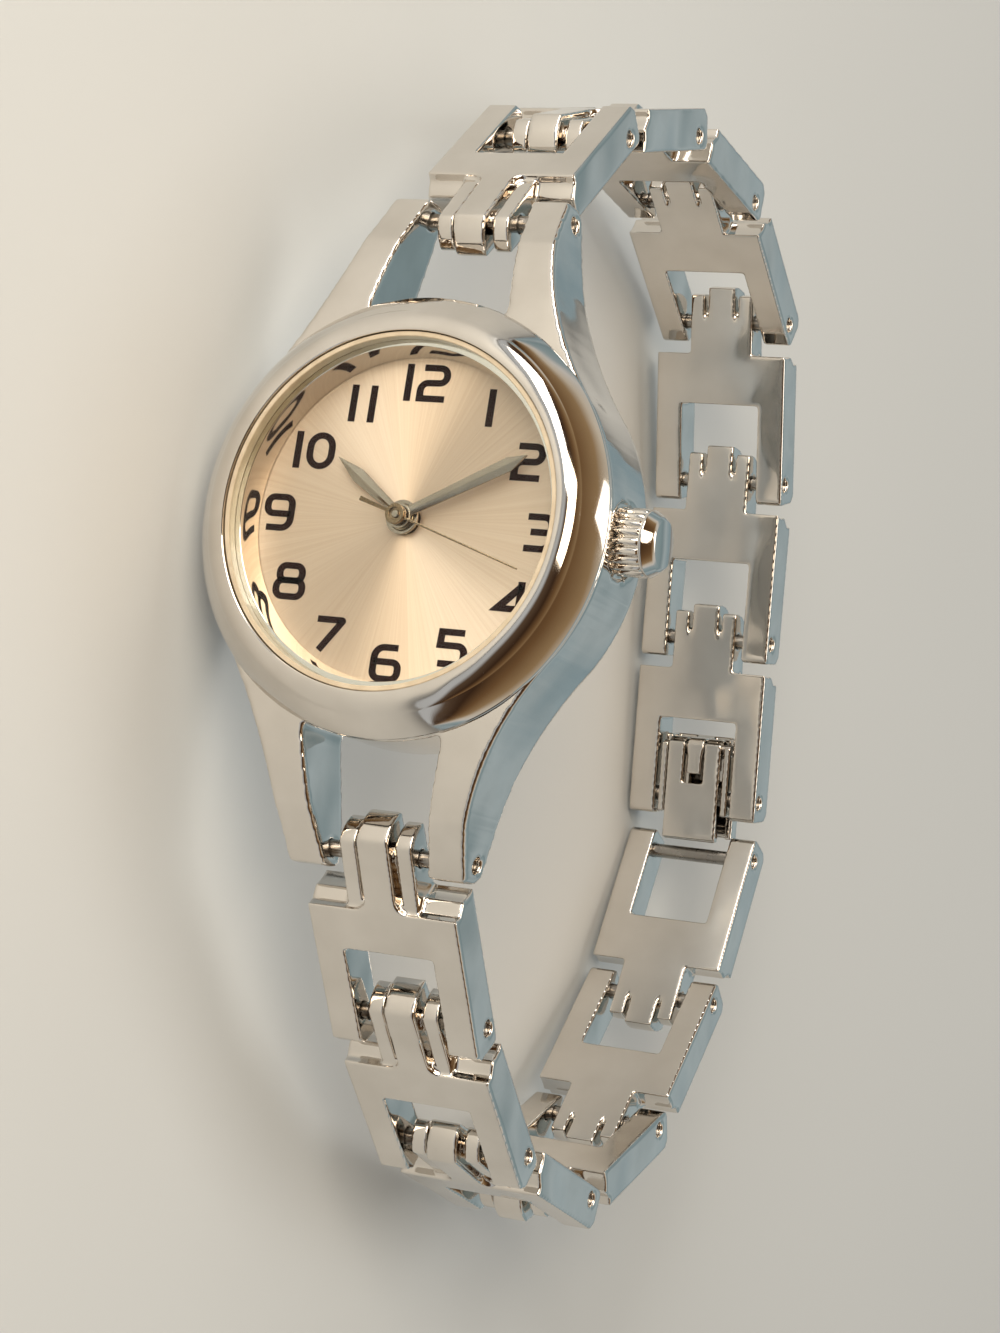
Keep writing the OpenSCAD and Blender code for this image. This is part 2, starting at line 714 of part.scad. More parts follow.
module coil() {
    core_z = layer[3] - 0.32;
    color("peru") laid() translate([coil_at[0], coil_at[1], 0]) union() {
        cross_cylinder(coil_r, coil_len, 0, plate_z - 0.1 - coil_r);
        translate([-coil_len / 2 - core_end, -0.5, core_z]) cube([coil_len + 2 * core_end, 1, 0.3]);
    }
}

module stator() {
    // two pole pieces in one plate, joined round the magnet and reaching up to the coil's core
    x0 = stator_left;
    x1 = coil_at[0] + coil_len / 2 + core_end;
    block = [2.1, 1.65];
    block_h = 2.4;
    leg = 1.1;
    color("slategray") laid() translate([0, 0, layer[3]]) difference() {
        union() {
            translate([block[0], block[1], 0]) cube([x1 - block[0], block_h, layer_t[3]]);
            translate([x0, 3, 0]) cube([block[0] + tiny - x0, block[1] + block_h - 3, layer_t[3]]);
            for (x = [x0, x1 - leg]) translate([x, 3, 0]) cube([leg, coil_at[1] + 0.5 - 3, layer_t[3]]);
        }
        translate([rotor_at[0], rotor_at[1], -1]) cylinder(r = magnet_r + 0.2, h = 3);
    }
}

module circuit_board() {
    // the board with its chip, and the quartz can soldered to it
    t = 0.2;
    can_r = 0.7;
    color("darkgreen") laid() union() {
        translate([0, 0, plate_z - tiny - t]) linear_extrude(t) intersection() {
            translate(board_at) square(board_size);
            circle(r = plate_r - 0.4);
        }
        translate([board_at[0] + board_size[0] - 1.2, board_at[1] + 0.8, plate_z - t - 0.5])
            cube([1.1, 1.6, 0.5 + tiny]);
        translate([quartz_at[0], quartz_at[1], plate_z - t - can_r]) rotate([90, 0, 0])
            cylinder(r = can_r, h = 4.6, center = true);
    }
}

module setting_lever() {
    color("silver") laid() difference() {
        translate([lever_x - lever_t / 2, -lever_y, crown_z - stem_r - 0.2])
            cube([lever_t, lever_y + stem_r, plate_z - seat - crown_z + stem_r + 0.2]);
        cross_cylinder(stem_r * 0.6 + run_fit, 2, 0, crown_z, lever_x);
        translate([lever_x - 1, 0, crown_z - stem_r * 0.6 - run_fit])
            cube([2, 2, 2 * (stem_r * 0.6 + run_fit)]);
    }
}

module stem() {
    length = stem_outer - stem_inner;
    color("silver") laid() difference() {
        cross_cylinder(stem_r, length, 0, crown_z, stem_inner + length / 2);
        difference() {
            cross_cylinder(1, lever_groove, 0, crown_z, lever_x);
            cross_cylinder(stem_r * 0.6, lever_groove + 1, 0, crown_z, lever_x);
        }
    }
}

module crown() {
    // rounded ribs round a core, then a smooth band that tapers to a flat end
    band_z = crown_len - crown_band;
    rib_at = crown_r - crown_rib_r;
    color("gainsboro") laid() translate([crown_x, 0, crown_z]) rotate([0, 90, 0]) difference() {
        union() {
            linear_extrude(band_z + tiny) union() {
                circle(r = rib_at + 0.06, $fn = 96);
                for (k = [0 : crown_ribs - 1]) rotate(k * 360 / crown_ribs)
                    translate([rib_at, 0]) circle(r = crown_rib_r, $fn = 24);
            }
            translate([0, 0, band_z]) rotate_extrude($fn = 96) polygon([[0, 0], [crown_r - 0.04, 0],
                [crown_r - 0.04, 0.2], [crown_r - 0.4, crown_band - 0.12],
                [crown_r - 0.58, crown_band], [0, crown_band]]);
            translate([0, 0, -0.75]) cylinder(r = 1.15, h = 0.8);
        }
        translate([0, 0, -2]) cylinder(r = stem_r + press_fit, h = 3.2 + tiny);
    }
}

// Bracelet links

module frame_profile() {
    // side view of a link's crossbar and arms, [along the band, outward], pin of the tongue at 0, 0
    foot_u = hollow_r - root;
    difference() {
        polygon([[foot_u, -link_in], [link_end, -link_in], [link_end, link_out], [shoulder, link_out],
            [shoulder, link_out - link_lip], [foot_u, root]]);
        circle(r = hollow_r);
        translate([link_end - link_nose, link_out]) rotate(-45) square([2, 2]);
        difference() {
            translate([link_end - link_heel, -link_in - 1]) square([2, 1 + link_heel]);
            translate([link_end - link_heel, link_heel - link_in]) circle(r = link_heel);
        }
    }
}

module rib_profile(nose, drop) {
    // the top falls from the shoulder to a rounded nose
    top = link_out - drop;
    intersection() {
        polygon([[-nose, -link_in], [shoulder + root, -link_in], [shoulder + root, top],
            [shoulder, top], [-nose, top - rib_fall]]);
        union() {
            translate([0, -nose_low]) circle(r = nose, $fn = 96);
            translate([0, -2 * link_in]) square([shoulder + 2 * root, 2 * link_in + 2 * link_out]);
        }
    }
}

module tongue_core() {
    translate([0, -link_in]) square([shoulder + root, link_in + link_out - rib_groove]);
    circle(r = knuckle_r);
}

module tongue() {
    side_at = (rib_mid + rib_side) / 2 + rib_gap;
    across(rib_mid) rib_profile(nose_mid, 0);
    for (s = [-1, 1]) across(rib_side, s * side_at) rib_profile(nose_side, rib_drop);
    across(2 * tongue_half) tongue_core();
    // flares beside the foot of the middle rib
    intersection() {
        for (s = [-1, 1]) translate([s * rib_mid / 2, shoulder, link_out - rib_groove])
            linear_extrude(rib_groove) difference() {
                translate([s * flare_rib / 2, -flare_rib / 2]) square(flare_rib + 2 * tiny, center = true);
                translate([s * flare_rib, -flare_rib]) circle(r = flare_rib);
            }
        across(2 * tongue_half) rib_profile(nose_mid, 0);
    }
}

module link() {
    color("gainsboro") difference() {
        union() {
            for (s = [-1, 1]) across(arm_w, s * (window_half + arm_w / 2)) frame_profile();
            across(2 * window_half + 2 * tiny) intersection() {
                frame_profile();
                translate([0, -2 * link_in]) square([window_start, 2 * link_in + link_out]);
            }
            tongue();
        }
        cross_cylinder(pin_r + run_fit, 2 * tongue_half + 1);
        cross_cylinder(pin_r + press_fit, link_w + 1, link_len);
    }
}

module link_pin() {
    color("dimgray") cross_cylinder(pin_r, link_w - 2 * pin_recess, link_len);
}

// Clasp, drawn in the last upper link's frame

module on_clasp() {
    on_upper(7) translate([0, link_len, 0]) children();
}

module clasp_cover() {
    // a channel that turns on the last upper pin, with a hinge knuckle in the middle of its upper end
    knuckle = fold_knuckle;
    up_end = fold_len + 0.8;
    down_end = clasp_span - pin_r - 0.78;
    wall_in = link_in - 0.05;
    mid_half = 0.65;
    color("lightgray") on_clasp() difference() {
        union() {
            across(2 * cover_half) translate([-up_end, link_out - sheet_t])
                square([up_end + down_end, sheet_t]);
            for (s = [-1, 1]) across(sheet_t, s * (cover_half - sheet_t / 2)) {
                translate([-up_end + 0.6, -wall_in]) square([up_end - 0.6 + 1.2, wall_in + link_out - tiny]);
                translate([-up_end, 0]) square([2, link_out - tiny]);
                translate([1, 0.6]) square([down_end - 1, link_out - 0.6 - tiny]);
            }
            across(2 * mid_half) {
                translate([-fold_len, fold_h]) circle(r = knuckle);
                translate([-fold_len - knuckle, fold_h]) square([sheet_t, link_out - fold_h - tiny]);
            }
            // the finger that lies in the leaf's slot
            across(2 * mid_half - 0.2) translate([-fold_len, fold_h - knuckle])
                square([1.9, sheet_t - 0.08]);
        }
        cross_cylinder(pin_r + run_fit, 2 * cover_half + 1);
        cross_cylinder(fold_pin_d / 2 + press_fit, 2 * cover_half + 1, -fold_len, fold_h);
    }
}

module clasp_leaf() {
    // the folding leaf lies on the wrist side and ends in a rolled lip beside the last lower pin
    knuckle = fold_knuckle;
    low = fold_h - knuckle - 0.12;
    lip_r = 0.42;
    lip_u = clasp_span - pin_r - 0.55 - lip_r;
    slot_half = 0.77;
    color("darkgray") on_clasp() difference() {
        union() {
            for (s = [-1, 1]) across(leaf_half - slot_half, s * (leaf_half + slot_half) / 2) {
                translate([-fold_len, fold_h]) circle(r = knuckle);
                translate([-fold_len, low]) square([1.2, sheet_t - 0.1]);
                translate([-fold_len - 0.35, low]) square([0.7, 0.5]);
            }
            for (s = [-1, 1]) across(leaf_half - slot_half, s * (leaf_half + slot_half) / 2)
                translate([-fold_len + 0.3, low]) square([3, sheet_t - 0.1]);
            across(2 * leaf_half) translate([-fold_len + 2.6, low])
                square([fold_len - 2.6 + lip_u, sheet_t - 0.1]);
            across(2 * leaf_half) translate([lip_u, low + lip_r]) circle(r = lip_r);
        }
        cross_cylinder(fold_pin_d / 2 + run_fit, 2 * leaf_half + 1, -fold_len, fold_h);
    }
}

module clasp_pin() {
    w = 2 * cover_half - 0.2;
    color("dimgray") on_clasp() cross_cylinder(fold_pin_d / 2, w, -fold_len, fold_h);
}

case_body();
bezel();
crystal();
crystal_gasket();
rehaut_ring();
dial();
movement_ring();
main_plate();
battery();
battery_clamp();
coil();
stator();
circuit_board();
train_bridge();
bridge_screws();
case_back();
case_back_gasket();
lug_pins();
hour_hand();
hour_wheel();
minute_hand();
cannon_pinion();
minute_wheel();
second_hand();
second_wheel();
third_wheel();
step_wheel();
rotor();
setting_lever();
crown();
stem();
on_upper(1) link();  // upper_link_1
on_upper(2) link();  // upper_link_2
on_upper(3) link();  // upper_link_3
on_upper(4) link();  // upper_link_4
on_upper(5) link();  // upper_link_5
on_upper(6) link();  // upper_link_6
on_upper(7) link();  // upper_link_7
on_upper(1) link_pin();  // upper_pin_1
on_upper(2) link_pin();  // upper_pin_2
on_upper(3) link_pin();  // upper_pin_3
on_upper(4) link_pin();  // upper_pin_4
on_upper(5) link_pin();  // upper_pin_5
on_upper(6) link_pin();  // upper_pin_6
on_upper(7) link_pin();  // upper_pin_7
on_lower(1) link();  // lower_link_1
on_lower(2) link();  // lower_link_2
on_lower(3) link();  // lower_link_3
on_lower(4) link();  // lower_link_4
on_lower(5) link();  // lower_link_5
on_lower(6) link();  // lower_link_6
on_lower(1) link_pin();  // lower_pin_1
on_lower(2) link_pin();  // lower_pin_2
on_lower(3) link_pin();  // lower_pin_3
on_lower(4) link_pin();  // lower_pin_4
on_lower(5) link_pin();  // lower_pin_5
on_lower(6) link_pin();  // lower_pin_6
clasp_cover();
clasp_leaf();
clasp_pin();
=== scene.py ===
import bmesh
import bpy
import math
from mathutils import Matrix, Vector


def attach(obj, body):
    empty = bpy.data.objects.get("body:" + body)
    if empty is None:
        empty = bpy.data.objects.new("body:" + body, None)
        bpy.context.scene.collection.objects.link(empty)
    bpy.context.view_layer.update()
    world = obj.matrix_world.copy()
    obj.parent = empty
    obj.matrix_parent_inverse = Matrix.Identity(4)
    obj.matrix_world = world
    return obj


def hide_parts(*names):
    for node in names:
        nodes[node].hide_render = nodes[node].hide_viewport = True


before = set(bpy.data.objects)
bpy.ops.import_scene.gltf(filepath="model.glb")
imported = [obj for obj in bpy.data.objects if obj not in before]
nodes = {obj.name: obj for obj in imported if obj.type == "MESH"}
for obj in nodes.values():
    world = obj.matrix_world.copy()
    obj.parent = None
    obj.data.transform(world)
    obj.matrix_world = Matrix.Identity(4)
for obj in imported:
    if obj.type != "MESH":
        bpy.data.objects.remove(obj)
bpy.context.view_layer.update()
MM = 0.001

# Patterns of the metals: waves per metre, and the depth of the relief in metres
CLOUD_SCALE = 260.0
HAIR_SCALE = 1500.0
HAIR_SQUASH = 14.0
HAIR_DEPTH = 0.02 * MM
SWELL_SCALE = 170.0
SWELL_DEPTH = 0.25 * MM
# The same for painted, printed and moulded surfaces
GRAIN_DEPTH = 0.03 * MM

# The watch's own frame, in millimetres: x to three o'clock, y to twelve, z out of the dial.
WATCH = Matrix(((0, -1, 0, 0), (0, 0, -1, 0), (1, 0, 0, 0), (0, 0, 0, 1))) @ Matrix.Scale(MM, 4)

# The camera's place and axes in the part's own frame, fitted to the photograph
CAM_AT = Vector((28.7, -157.2, 78.6)) * MM
CAM_RIGHT = Vector((-0.1509, 0.4032, 0.9026)).normalized()
CAM_VIEW = Vector((-0.1227, 0.8983, -0.4218)).normalized()
CAM_UP = CAM_RIGHT.cross(CAM_VIEW).normalized()
CAM_LENS = 81.72


def link(obj):
    bpy.context.scene.collection.objects.link(obj)
    return obj


def mesh_object(name, bm, matrix=Matrix.Identity(4), smooth=True):
    me = bpy.data.meshes.new(name)
    bmesh.ops.recalc_face_normals(bm, faces=bm.faces)
    bm.to_mesh(me)
    bm.free()
    me.transform(matrix)
    if matrix.determinant() < 0:
        me.flip_normals()
    for p in me.polygons:
        p.use_smooth = smooth
    return link(bpy.data.objects.new(name, me))


# Node helpers

def new_material(name):
    m = bpy.data.materials.new(name)
    m.use_nodes = True
    nt = m.node_tree
    b = nt.nodes["Principled BSDF"]
    return m, nt, b


def add(nt, kind, **values):
    n = nt.nodes.new(kind)
    for k, v in values.items():
        if k in n.inputs:
            n.inputs[k].default_value = v
        else:
            setattr(n, k, v)
    return n


def ramp(nt, fac, stops):
    r = nt.nodes.new("ShaderNodeValToRGB")
    e = r.color_ramp.elements
    e[0].position, e[0].color = stops[0][0], (*stops[0][1], 1)
    e[1].position, e[1].color = stops[-1][0], (*stops[-1][1], 1)
    for pos, col in stops[1:-1]:
        x = e.new(pos)
        x.color = (*col, 1)
    nt.links.new(fac, r.inputs["Fac"])
    return r.outputs["Color"]


def map_range(nt, value, from_min, from_max, to_min, to_max):
    m = add(nt, "ShaderNodeMapRange")
    ends = {"From Min": from_min, "From Max": from_max, "To Min": to_min, "To Max": to_max}
    for name, number in ends.items():
        m.inputs[name].default_value = number
    nt.links.new(value, m.inputs["Value"])
    return m.outputs["Result"]


def steel(name, low, high, rough, scratch, grain=900.0, wave=0.0):
    """Metal with faint clouding, uneven polish, hairlines and the slow waves of hand polishing."""
    m, nt, b = new_material(name)
    co = add(nt, "ShaderNodeTexCoord")
    cloud = add(nt, "ShaderNodeTexNoise", Scale=CLOUD_SCALE, Detail=4.0)
    nt.links.new(co.outputs["Object"], cloud.inputs["Vector"])
    nt.links.new(ramp(nt, cloud.outputs["Fac"], [(0.3, low), (0.7, high)]), b.inputs["Base Color"])
    fine = add(nt, "ShaderNodeTexNoise", Scale=grain, Detail=6.0, Roughness=0.6)
    nt.links.new(co.outputs["Object"], fine.inputs["Vector"])
    nt.links.new(map_range(nt, fine.outputs["Fac"], 0.3, 0.7, *rough), b.inputs["Roughness"])
    b.inputs["Metallic"].default_value = 1.0
    squash = add(nt, "ShaderNodeMapping")
    squash.inputs["Scale"].default_value = (1.0, 1.0, HAIR_SQUASH)
    nt.links.new(co.outputs["Object"], squash.inputs["Vector"])
    hair = add(nt, "ShaderNodeTexNoise", Scale=HAIR_SCALE, Detail=3.0)
    nt.links.new(squash.outputs["Vector"], hair.inputs["Vector"])
    bump = add(nt, "ShaderNodeBump", Strength=scratch, Distance=HAIR_DEPTH)
    nt.links.new(hair.outputs["Fac"], bump.inputs["Height"])
    if wave:
        slow = add(nt, "ShaderNodeTexNoise", Scale=SWELL_SCALE, Detail=1.0)
        nt.links.new(co.outputs["Object"], slow.inputs["Vector"])
        swell = add(nt, "ShaderNodeBump", Strength=wave, Distance=SWELL_DEPTH)
        nt.links.new(slow.outputs["Fac"], swell.inputs["Height"])
        nt.links.new(swell.outputs["Normal"], bump.inputs["Normal"])
    nt.links.new(bump.outputs["Normal"], b.inputs["Normal"])
    return m


polished = steel("polished_steel", (0.68, 0.64, 0.59), (0.77, 0.73, 0.68), (0.04, 0.10), 0.012,
    wave=1.0)
mirror = steel("rehaut_steel", (0.84, 0.79, 0.72), (0.90, 0.86, 0.80), (0.06, 0.10), 0.004)
satin = steel("satin_steel", (0.56, 0.54, 0.51), (0.66, 0.64, 0.61), (0.2, 0.34), 0.1)
brushed = steel("brushed_steel", (0.60, 0.58, 0.55), (0.64, 0.62, 0.59), (0.20, 0.24), 0.015, 2600.0)
dark_steel = steel("pin_steel", (0.30, 0.28, 0.26), (0.42, 0.40, 0.37), (0.2, 0.4), 0.1)
gilt = steel("gilt", (0.58, 0.47, 0.32), (0.70, 0.58, 0.42), (0.15, 0.3), 0.05)
dark_gilt = steel("dark_gilt", (0.24, 0.17, 0.10), (0.33, 0.24, 0.15), (0.2, 0.3), 0.03)
hand_metal = steel("hand_bronze", (0.40, 0.34, 0.27), (0.50, 0.44, 0.36), (0.16, 0.26), 0.03)
copper = steel("coil_copper", (0.55, 0.26, 0.12), (0.72, 0.38, 0.2), (0.3, 0.5), 0.4, 3000.0)
nickel = steel("nickel_plate", (0.62, 0.60, 0.55), (0.72, 0.70, 0.65), (0.25, 0.4), 0.1)


def matt(name, low, high, rough, scale=1200.0, relief=0.1):
    """Paint, plastic or rubber with a fine grain."""
    m, nt, b = new_material(name)
    co = add(nt, "ShaderNodeTexCoord")
    n = add(nt, "ShaderNodeTexNoise", Scale=scale, Detail=5.0)
    nt.links.new(co.outputs["Object"], n.inputs["Vector"])
    nt.links.new(ramp(nt, n.outputs["Fac"], [(0.35, low), (0.65, high)]), b.inputs["Base Color"])
    b.inputs["Roughness"].default_value = rough
    bump = add(nt, "ShaderNodeBump", Strength=relief, Distance=GRAIN_DEPTH)
    nt.links.new(n.outputs["Fac"], bump.inputs["Height"])
    nt.links.new(bump.outputs["Normal"], b.inputs["Normal"])
    return m


gasket_cream = matt("gasket_cream", (0.60, 0.50, 0.36), (0.70, 0.60, 0.45), 0.35)
gasket_black = matt("gasket_black", (0.02, 0.02, 0.02), (0.05, 0.05, 0.05), 0.5)
white_plastic = matt("white_plastic", (0.72, 0.71, 0.68), (0.82, 0.81, 0.78), 0.45)
board_green = matt("board_green", (0.02, 0.16, 0.07), (0.05, 0.26, 0.12), 0.4, 2500.0)
numeral_ink = matt("numeral_ink", (0.010, 0.002, 0.002), (0.018, 0.005, 0.004), 0.6, 3000.0, 0.05)
numeral_ink.node_tree.nodes["Principled BSDF"].inputs["Specular IOR Level"].default_value = 0.12


def sunburst():
    """Champagne dial with fine rays from its centre."""
    m, nt, b = new_material("sunburst_dial")
    co = add(nt, "ShaderNodeTexCoord")
    sep = add(nt, "ShaderNodeSeparateXYZ")
    nt.links.new(co.outputs["Object"], sep.inputs["Vector"])
    ang = add(nt, "ShaderNodeMath", operation="ARCTAN2")
    nt.links.new(sep.outputs["Z"], ang.inputs[0])
    nt.links.new(sep.outputs["X"], ang.inputs[1])
    wheel = add(nt, "ShaderNodeCombineXYZ")
    for i, fn in enumerate(("COSINE", "SINE")):
        t = add(nt, "ShaderNodeMath", operation=fn)
        nt.links.new(ang.outputs[0], t.inputs[0])
        nt.links.new(t.outputs[0], wheel.inputs[i])
    rays = add(nt, "ShaderNodeTexNoise", Scale=42.0, Detail=8.0, Roughness=0.75)
    nt.links.new(wheel.outputs[0], rays.inputs["Vector"])
    tone = ramp(nt, rays.outputs["Fac"], [(0.32, (0.80, 0.61, 0.46)), (0.68, (0.92, 0.75, 0.60))])
    nt.links.new(tone, b.inputs["Base Color"])
    nt.links.new(map_range(nt, rays.outputs["Fac"], 0.0, 1.0, 0.44, 0.54), b.inputs["Roughness"])
    b.inputs["Metallic"].default_value = 0.7
    b.inputs["Anisotropic"].default_value = 0.9
    tan = add(nt, "ShaderNodeTangent", direction_type="RADIAL", axis="Y")
    nt.links.new(tan.outputs["Tangent"], b.inputs["Tangent"])
    bump = add(nt, "ShaderNodeBump", Strength=0.15, Distance=HAIR_DEPTH)
    nt.links.new(rays.outputs["Fac"], bump.inputs["Height"])
    nt.links.new(bump.outputs["Normal"], b.inputs["Normal"])
    return m


dial_mat = sunburst()


def crystal_glass():
    """Clear glass that mirrors more at a flat angle, alike on both of its faces."""
    m = bpy.data.materials.new("crystal_glass")
    m.use_nodes = True
    nt = m.node_tree
    nt.nodes.clear()
    out = add(nt, "ShaderNodeOutputMaterial")
    mix = add(nt, "ShaderNodeMixShader")
    clear = add(nt, "ShaderNodeBsdfTransparent", Color=(0.97, 0.985, 0.98, 1))
    gloss = add(nt, "ShaderNodeBsdfGlossy", Roughness=0.0)
    facing = add(nt, "ShaderNodeLayerWeight", Blend=0.5)
    steep = add(nt, "ShaderNodeMath", operation="POWER")
    steep.inputs[1].default_value = 5.0
    nt.links.new(facing.outputs["Facing"], steep.inputs[0])
    nt.links.new(map_range(nt, steep.outputs[0], 0.0, 1.0, 0.012, 0.6), mix.inputs["Fac"])
    nt.links.new(clear.outputs[0], mix.inputs[1])
    nt.links.new(gloss.outputs[0], mix.inputs[2])
    nt.links.new(mix.outputs[0], out.inputs["Surface"])
    return m


crystal_mat = crystal_glass()

# The nodes that are neither polished steel nor pins of the bracelet
BY_NODE = {
    "crystal": crystal_mat, "crystal_gasket": gasket_cream, "dial": dial_mat, "case_back": brushed,
    "movement_ring": white_plastic, "main_plate": nickel, "train_bridge": nickel, "battery": satin,
    "battery_clamp": satin, "coil": copper, "stator": satin, "circuit_board": board_green,
    "bridge_screws": dark_steel, "case_back_gasket": gasket_black, "hour_hand": hand_metal,
    "minute_hand": hand_metal, "second_hand": dark_gilt, "hour_wheel": gilt, "cannon_pinion": gilt,
    "minute_wheel": gilt, "second_wheel": hand_metal, "third_wheel": gilt, "step_wheel": gilt,
    "rotor": satin, "setting_lever": satin, "stem": satin, "clasp_pin": dark_steel,
    "lug_pins": dark_steel}


def dress(obj, mat):
    obj.data.materials.clear()
    obj.data.materials.append(mat)
    for p in obj.data.polygons:
        p.use_smooth = True


# Edges that soften() rounds: its weld and width in millimetres, and the angle in degrees
WELD_GAP = 0.002
EDGE_WIDTH = 0.03
EDGE_STEPS = 2
EDGE_ANGLE = 28


def soften(obj):
    """Rounds a node's edges without touching its mesh."""
    w = obj.modifiers.new("weld", "WELD")
    w.merge_threshold = WELD_GAP * MM
    b = obj.modifiers.new("edges", "BEVEL")
    b.width = EDGE_WIDTH * MM
    b.segments = EDGE_STEPS
    b.limit_method = "ANGLE"
    b.angle_limit = math.radians(EDGE_ANGLE)
    b.face_strength_mode = "FSTR_ALL"
    b.use_clamp_overlap = True
    b.miter_outer = "MITER_ARC"
    n = obj.modifiers.new("normals", "WEIGHTED_NORMAL")
    n.keep_sharp = True
    n.use_face_influence = True


def melt(obj, voxel, rounds, keep):
    """Tumbled edges: an even skin over the node, rounded by smoothing, then thinned on its flats.

    voxel is the skin's mesh size in millimetres, keep the share of its faces that stays."""
    r = obj.modifiers.new("skin", "REMESH")
    r.mode = "VOXEL"
    r.voxel_size = voxel * MM
    r.use_smooth_shade = True
    s = obj.modifiers.new("round", "SMOOTH")
    s.factor = 0.5
    s.iterations = rounds
    d = obj.modifiers.new("thin", "DECIMATE")
    d.ratio = keep


for name, obj in nodes.items():
    mat = BY_NODE.get(name, dark_steel if "_pin_" in name else polished)
    dress(obj, mat)
    if "_link_" in name:
        melt(obj, 0.1, 9, 0.3)
    elif name == "case_body":
        melt(obj, 0.12, 12, 0.25)
    elif name in ("clasp_cover", "clasp_leaf"):
        melt(obj, 0.1, 3, 0.4)
    elif name != "crystal":
        soften(obj)

# Numerals: the middle lines of their strokes. A point is (x, y, corner radius), x as a share of the
# numeral's width and y of its height; the radius is in millimetres.

STROKES = {
    "0": [[(0, 0, .72), (1, 0, .72), (1, 1, .72), (0, 1, .72), (0, 0, .72)]],
    "1": [[(0, 0, 0), (0, 1, 0)]],
    "2": [[(0.06, 1, 0), (1, 1, .5), (1, 0.52, .42), (0, 0.5, .45), (0, 0, 0), (1, 0, 0)]],
    "3": [[(0.03, 1, 0), (1, 1, .45), (1, 0, .45), (0, 0, 0)], [(0.2, 0.52, 0), (1, 0.52, 0)]],
    "4": [[(0.76, 0, 0), (0.76, 1, 0)], [(0.79, 0.98, 0), (0, 0.24, 0), (1, 0.24, 0)]],
    "5": [[(0.94, 1, 0), (0.02, 1, 0), (0, 0.58, 0), (1, 0.58, .42), (1, 0, .42), (0, 0, 0)]],
    "6": [[(0.92, 1, 0), (0, 1, .6), (0, 0, .45), (1, 0, .42), (1, 0.54, .38), (0, 0.54, 0)]],
    "7": [[(0, 1, 0), (1, 1, .05), (0.2, 0, 0)]],
    "8": [[(0, 0, .42), (1, 0, .42), (1, 0.52, .4), (0, 0.52, .4), (0, 0, .42)],
        [(0.07, 0.52, .36), (0.93, 0.52, .36), (0.93, 1, .4), (0.07, 1, .4), (0.07, 0.52, .36)]],
    "9": [[(0.05, 0, 0), (1, 0, .55), (1, 1, .45), (0, 1, .42), (0, 0.46, .38), (1, 0.46, 0)]]}
WIDTHS = {"0": 1.42, "1": 0, "2": 1.6, "3": 1.55, "4": 1.72, "5": 1.55, "6": 1.58, "7": 1.66,
    "8": 1.7, "9": 1.6}


# A corner takes at most this share of a side, and a bend widens its stroke no more than 1 / BEND_MIN
CORNER_SHARE = 0.49
BEND_MIN = 0.4


def rounded(points, steps=6):
    """The line with each corner turned on its own arc, and whether it is closed."""
    closed = points[0][:2] == points[-1][:2]
    if closed:
        points = points[:-1]
    pts = [Vector(p[:2]) for p in points]
    out = []
    n = len(pts)
    for i, p in enumerate(pts):
        if (not closed and i in (0, n - 1)) or points[i][2] == 0:
            out.append(p)
            continue
        a, c = pts[i - 1], pts[(i + 1) % n]
        u, v = (a - p).normalized(), (c - p).normalized()
        half = math.acos(max(-1, min(1, u.dot(v)))) / 2
        room = CORNER_SHARE * min((a - p).length, (c - p).length)
        cut = min(points[i][2] / math.tan(half), room)
        r = cut * math.tan(half)
        centre = p + (u + v).normalized() * (r / math.sin(half))
        s, e = p + u * cut - centre, p + v * cut - centre
        turn = math.pi - 2 * half
        sign = 1 if s.x * e.y - s.y * e.x > 0 else -1
        for k in range(steps + 1):
            out.append(centre + Matrix.Rotation(sign * turn * k / steps, 2) @ s)
    if closed:
        out.append(out[0].copy())
    return out, closed


def ribbon(bm, pts, closed, width, z, height, wide=1.0):
    """A flat stroke of that width, standing height over z. Upright strokes are wider by wide."""
    n = len(pts)
    rows = []
    for i, p in enumerate(pts):
        if closed and i == n - 1:
            rows.append(rows[0])
            break
        a = pts[i - 1] if i else (pts[n - 2] if closed else None)
        b = pts[i + 1] if i < n - 1 else None
        before = (p - a).normalized() if a is not None else (b - p).normalized()
        after = (b - p).normalized() if b is not None else before
        d = (before + after).normalized()
        side = Vector((-d.y, d.x)) / max(BEND_MIN, d.dot(after))
        rows.append([bm.verts.new((p.x + s * wide * side.x * width / 2, p.y + s * side.y * width / 2, z + h))
            for s, h in ((-1, 0), (-1, height), (1, height), (1, 0))])
    for r0, r1 in zip(rows, rows[1:]):
        for k in range(4):
            bm.faces.new((r0[k], r0[(k + 1) % 4], r1[(k + 1) % 4], r1[k]))
    if not closed:
        bm.faces.new(rows[0])
        bm.faces.new(rows[-1])


# Numerals in millimetres: the dial's face, how deep the ink is sunk and how high it is in all, the
# figures' height, the stroke's width with the factor of upright ones, and the gaps between figures
DIAL_Z = 5.4
INK_SUNK = 0.01
INK_HEIGHT = 0.03
NUMERAL_H = 2.2
STROKE = 0.38
WIDE = 1.16
FIGURE_GAP = 0.36
ELEVEN_GAP = 0.8
CENTRES = {"12": (0.05, 8.0), "1": (4.3, 6.75), "2": (7.15, 3.75), "3": (8.4, -0.25), "4": (7.45, -4.2),
    "5": (4.2, -7.2), "6": (0.2, -8.4), "7": (-3.75, -7.1), "8": (-6.8, -4.15), "9": (-8.25, -0.15),
    "10": (-6.55, 3.65), "11": (-3.9, 6.6)}


